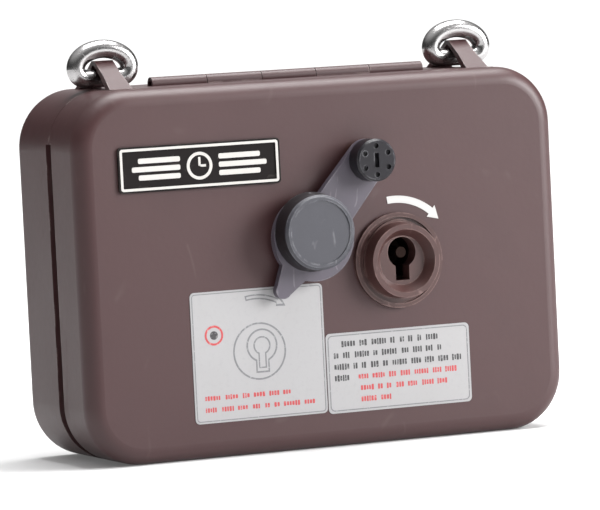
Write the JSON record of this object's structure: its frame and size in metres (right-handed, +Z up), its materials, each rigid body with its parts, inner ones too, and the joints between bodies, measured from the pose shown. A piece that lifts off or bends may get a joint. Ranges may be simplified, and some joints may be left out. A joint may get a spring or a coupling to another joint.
{
  "type": "watchman's patrol clock",
  "caption": "Hand-carried patrol clock in a rounded two-shell steel case: top-hinged cover with a cam lock, a capped station keyhole, strap rings, and a key-driven tape printer inside.",
  "frame": {"origin": "middle of the bounding box on the surface the case stands on", "axes": "+Z up from the flat bottom edge the case stands on, +X to the right as seen from the front, +Y towards the back, so the face with the keyholes looks along -Y"},
  "size_m": [0.1524, 0.061, 0.1223],
  "materials": {
    "case_enamel": "satin brown-mauve baked enamel, lightly rubbed at the edges",
    "bright_chrome": "bright plating with fine handling scratches",
    "zinc_steel": "bright zinc-plated steel",
    "turned_brass": "turned brass, satin",
    "arm_enamel": "grey-mauve satin paint",
    "cap_face": "dark grey satin paint with a worn rim",
    "boss_black": "glossy black oxide",
    "lock_metal": "polished plated metal with a warm brown tint",
    "black_plate": "black with a pale raised border",
    "printed_label": "white printed foil label",
    "white_print": "white printed arrow",
    "black_rubber": "matt black rubber",
    "cell_jacket": "dark printed jacket over metal",
    "holder_plastic": "black moulded plastic",
    "spring_steel": "bright spring steel",
    "board_green": "green glass-fibre board",
    "module_plastic": "dark moulded plastic",
    "dial_white": "matt off-white dial",
    "hand_black": "matt black",
    "gear_plastic": "off-white moulded acetal",
    "type_steel": "hardened steel darkened by ink",
    "tape_paper": "plain recording paper",
    "core_card": "brown card tube",
    "spool_plastic": "black moulded plastic"
  },
  "bodies": {
    "case": {"rear_case": "case_enamel", "case_gasket": "black_rubber", "hinge_pin": "zinc_steel", "chassis_plate": "zinc_steel", "chassis_screws": "zinc_steel", "bridge_plate": "zinc_steel", "bridge_pillars": "turned_brass", "bridge_screws": "zinc_steel", "lock_striker": "zinc_steel", "type_arbor": "zinc_steel", "works_shafts": "zinc_steel", "spool_spindles": "zinc_steel", "paper_tape": "tape_paper", "hammer_spring": "spring_steel", "quartz_module": "module_plastic", "dial": "dial_white", "standoffs": "turned_brass", "battery_cell": "cell_jacket", "battery_holder": "holder_plastic", "plus_contact": "spring_steel", "minus_spring": "spring_steel", "driver_board": "board_green"},
    "cover": {"front_cover": "case_enamel", "nameplate": "black_plate", "key_turn_label": "printed_label", "cover_label": "printed_label", "turn_arrow": "white_print", "lock_housing": "lock_metal", "lock_nut": "zinc_steel", "station_keyhole": "zinc_steel", "pivot_screw": "boss_black", "pivot_spacer": "turned_brass", "pivot_nut": "zinc_steel"},
    "cap_arm": {"swing_arm": "arm_enamel", "dust_cap": "cap_face", "cap_seal": "black_rubber"},
    "lock_turning": {"lock_rotor": "turned_brass", "lock_cam": "zinc_steel", "cam_screw": "zinc_steel"},
    "left_ring": {"strap_ring_left": "bright_chrome"},
    "right_ring": {"strap_ring_right": "bright_chrome"},
    "station_barrel": {"key_barrel": "turned_brass", "barrel_clip": "spring_steel"},
    "hammer": {"print_hammer": "zinc_steel", "hammer_pad": "black_rubber"},
    "feed": {"feed_roller": "black_rubber"},
    "takeup": {"takeup_spool": "spool_plastic", "wound_tape": "tape_paper"},
    "supply": {"tape_roll": "tape_paper", "roll_core": "core_card"},
    "clock_shaft": {"drive_gear": "gear_plastic", "minute_hand": "hand_black"},
    "hour": {"hour_hand": "hand_black"},
    "idler": {"idler_gear": "gear_plastic"},
    "setting": {"setting_gear": "gear_plastic", "setting_knob": "turned_brass"},
    "minute_wheel": {"minute_type_wheel": "type_steel"},
    "hour_wheel": {"hour_type_wheel": "type_steel"},
    "day_wheel": {"day_type_wheel": "type_steel"}
  },
  "joints": [
    {"name": "cover_hinge", "type": "hinge", "parent": "case", "child": "cover", "pos_m": [0, 0.0025, 0.1086], "axis": [-1, 0, 0], "range_deg": [0, 90]},
    {"name": "cap_swing", "type": "hinge", "parent": "cover", "child": "cap_arm", "pos_m": [0.0131, -0.0225, 0.0835], "axis": [0, 1, 0], "range_deg": [0, 85]},
    {"name": "lock_turn", "type": "hinge", "parent": "cover", "child": "lock_turning", "pos_m": [0.0228, -0.0135, 0.0558], "axis": [0, 1, 0], "range_deg": [0, 90]},
    {"name": "left_ring_swing", "type": "hinge", "parent": "case", "child": "left_ring", "pos_m": [-0.057, 0.0053, 0.1112], "axis": [1, 0, 0], "range_deg": [-45, 0]},
    {"name": "right_ring_swing", "type": "hinge", "parent": "case", "child": "right_ring", "pos_m": [0.057, 0.0053, 0.1112], "axis": [1, 0, 0], "range_deg": [-45, 0]},
    {"name": "key_turn", "type": "hinge", "parent": "case", "child": "station_barrel", "pos_m": [-0.0061, -0.0075, 0.065], "axis": [0, 1, 0], "range_deg": [0, 90]},
    {"name": "hammer_lift", "type": "hinge", "parent": "case", "child": "hammer", "pos_m": [-0.021, 0.0065, 0.0466], "axis": [0, -1, 0], "range_deg": [0, 13]},
    {"name": "feed_turn", "type": "hinge", "parent": "case", "child": "feed", "pos_m": [0.007, 0.0065, 0.0492], "axis": [0, 1, 0], "range_deg": [0, 60]},
    {"name": "takeup_turn", "type": "hinge", "parent": "case", "child": "takeup", "pos_m": [-0.047, 0.0065, 0.026], "axis": [0, -1, 0], "range_deg": [0, 23]},
    {"name": "supply_turn", "type": "hinge", "parent": "case", "child": "supply", "pos_m": [-0.048, 0.0065, 0.077], "axis": [0, -1, 0], "range_deg": [0, 14]},
    {"name": "minute_turn", "type": "hinge", "parent": "case", "child": "clock_shaft", "pos_m": [0.046, 0.0105, 0.076], "axis": [0, 1, 0], "continuous": true},
    {"name": "hour_turn", "type": "hinge", "parent": "case", "child": "hour", "pos_m": [0.046, -0.0025, 0.076], "axis": [0, 1, 0], "continuous": true},
    {"name": "idler_turn", "type": "hinge", "parent": "case", "child": "idler", "pos_m": [0.02863, 0.0185, 0.07233], "axis": [0, 1, 0], "continuous": true},
    {"name": "setting_turn", "type": "hinge", "parent": "case", "child": "setting", "pos_m": [0.01127, 0.0185, 0.06867], "axis": [0, 1, 0], "continuous": true},
    {"name": "minute_wheel_turn", "type": "hinge", "parent": "case", "child": "minute_wheel", "pos_m": [-0.0061, 0.0155, 0.065], "axis": [0, 1, 0], "continuous": true},
    {"name": "hour_wheel_turn", "type": "hinge", "parent": "case", "child": "hour_wheel", "pos_m": [-0.0061, 0.0095, 0.065], "axis": [0, 1, 0], "continuous": true},
    {"name": "day_wheel_turn", "type": "hinge", "parent": "case", "child": "day_wheel", "pos_m": [-0.0061, 0.0045, 0.065], "axis": [0, 1, 0], "continuous": true}
  ],
  "couplings": [
    {"joint": "hammer_lift", "follows": "key_turn", "ratio": 0.14444},
    {"joint": "feed_turn", "follows": "key_turn", "ratio": 0.66667},
    {"joint": "takeup_turn", "follows": "key_turn", "ratio": 0.25444},
    {"joint": "supply_turn", "follows": "key_turn", "ratio": 0.15111},
    {"joint": "hour_turn", "follows": "minute_turn", "ratio": 0.083333},
    {"joint": "idler_turn", "follows": "minute_turn", "ratio": -1},
    {"joint": "setting_turn", "follows": "minute_turn", "ratio": 1},
    {"joint": "minute_wheel_turn", "follows": "minute_turn", "ratio": -1},
    {"joint": "hour_wheel_turn", "follows": "minute_turn", "ratio": -0.041667},
    {"joint": "day_wheel_turn", "follows": "minute_turn", "ratio": -0.0013441}
  ]
}
